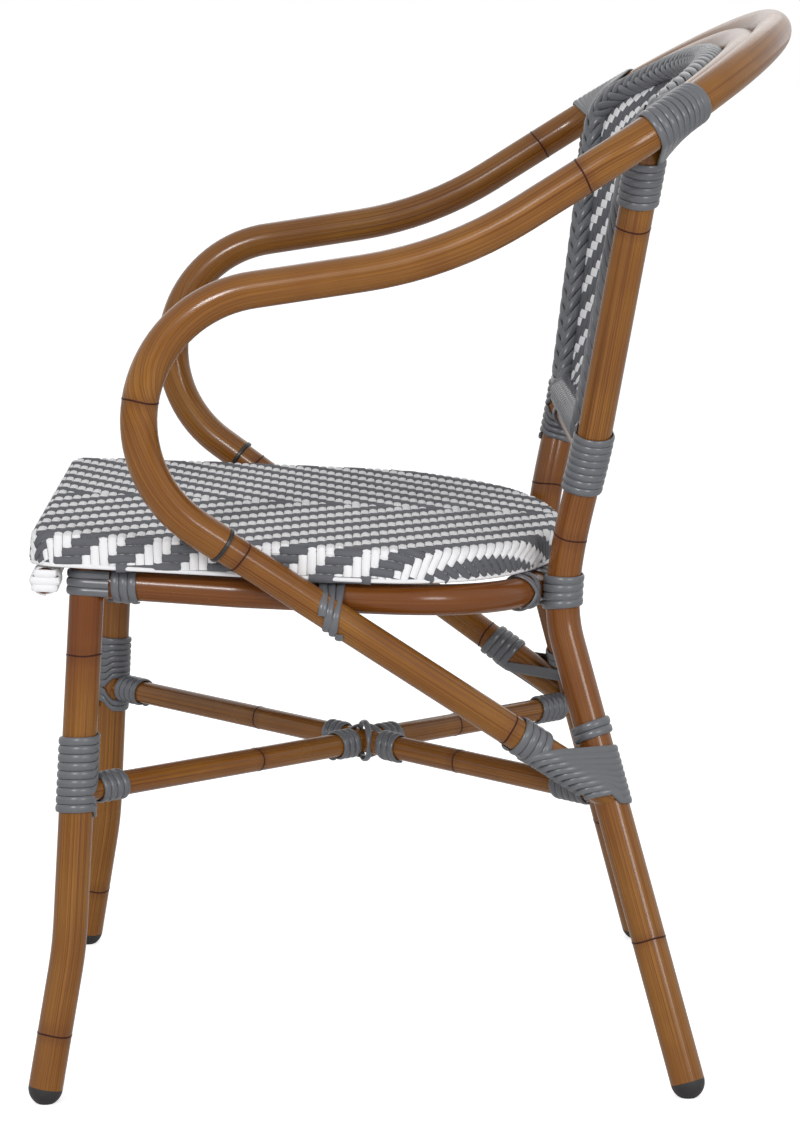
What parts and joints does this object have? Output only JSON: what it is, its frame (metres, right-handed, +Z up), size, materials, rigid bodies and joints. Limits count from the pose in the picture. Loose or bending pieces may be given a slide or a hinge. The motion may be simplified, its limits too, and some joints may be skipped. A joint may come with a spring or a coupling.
{
  "type": "bistro armchair",
  "caption": "Stacking cafe armchair: bent, welded tubes lashed with strand, woven two-tone seat and back, plaited back border and domed foot caps.",
  "frame": {"origin": "centre of the chair's footprint, on the floor", "axes": "+Z up, the sitter faces -Y, +X is the sitter's left"},
  "size_m": [0.6354, 0.6356, 0.8699],
  "materials": {
    "tube": "glossy golden-brown wood-look paint with a fine dark grain along the tube",
    "strand_grey": "satin extruded grey strand",
    "strand_white": "satin extruded white strand, woven with grey",
    "cap": "black rubber",
    "joint": "black plastic ring",
    "alloy": "bare aluminium, hidden inside"
  },
  "bodies": {
    "root": {"outer_hoop": "tube", "rear_hoop": "tube", "front_leg_left": "tube", "front_leg_right": "tube", "brace_left": "tube", "brace_right": "tube", "seat_ring": "tube", "back_rail": "tube", "front_rail": "tube", "stretcher_full": "tube", "stretcher_half_front": "tube", "stretcher_half_rear": "tube", "joint_ring_left": "joint", "joint_ring_right": "joint", "joint_spigot_left": "alloy", "joint_spigot_right": "alloy", "foot_cap_front_left": "cap", "foot_cap_front_right": "cap", "foot_cap_rear_left": "cap", "foot_cap_rear_right": "cap", "seat_weave": "strand_white", "seat_frame": "alloy", "seat_slat_1": "alloy", "seat_slat_2": "alloy", "seat_slat_3": "alloy", "back_braid": "strand_grey", "back_frame": "alloy", "back_weave": "strand_white", "front_leg_binding_left": "strand_grey", "front_leg_binding_right": "strand_grey", "rear_leg_binding_left": "strand_grey", "rear_leg_binding_right": "strand_grey", "brace_end_binding_left": "strand_grey", "brace_end_binding_right": "strand_grey", "front_stretcher_binding_left": "strand_grey", "front_stretcher_binding_right": "strand_grey", "rear_stretcher_binding_left": "strand_grey", "rear_stretcher_binding_right": "strand_grey", "ring_end_binding_left": "strand_grey", "ring_end_binding_right": "strand_grey", "brace_ring_binding_left": "strand_grey", "brace_ring_binding_right": "strand_grey", "post_middle_binding_left": "strand_grey", "post_middle_binding_right": "strand_grey", "post_top_binding_left": "strand_grey", "post_top_binding_right": "strand_grey", "hoop_binding_left": "strand_grey", "hoop_binding_right": "strand_grey", "leg_top_lashing_left": "strand_grey", "leg_top_lashing_right": "strand_grey", "seat_lashing_left": "strand_grey", "seat_lashing_right": "strand_grey", "rail_end_binding_left": "strand_white", "rail_end_binding_right": "strand_white", "crossing_binding_front": "strand_grey", "crossing_binding_rear": "strand_grey"}
  },
  "joints": []
}
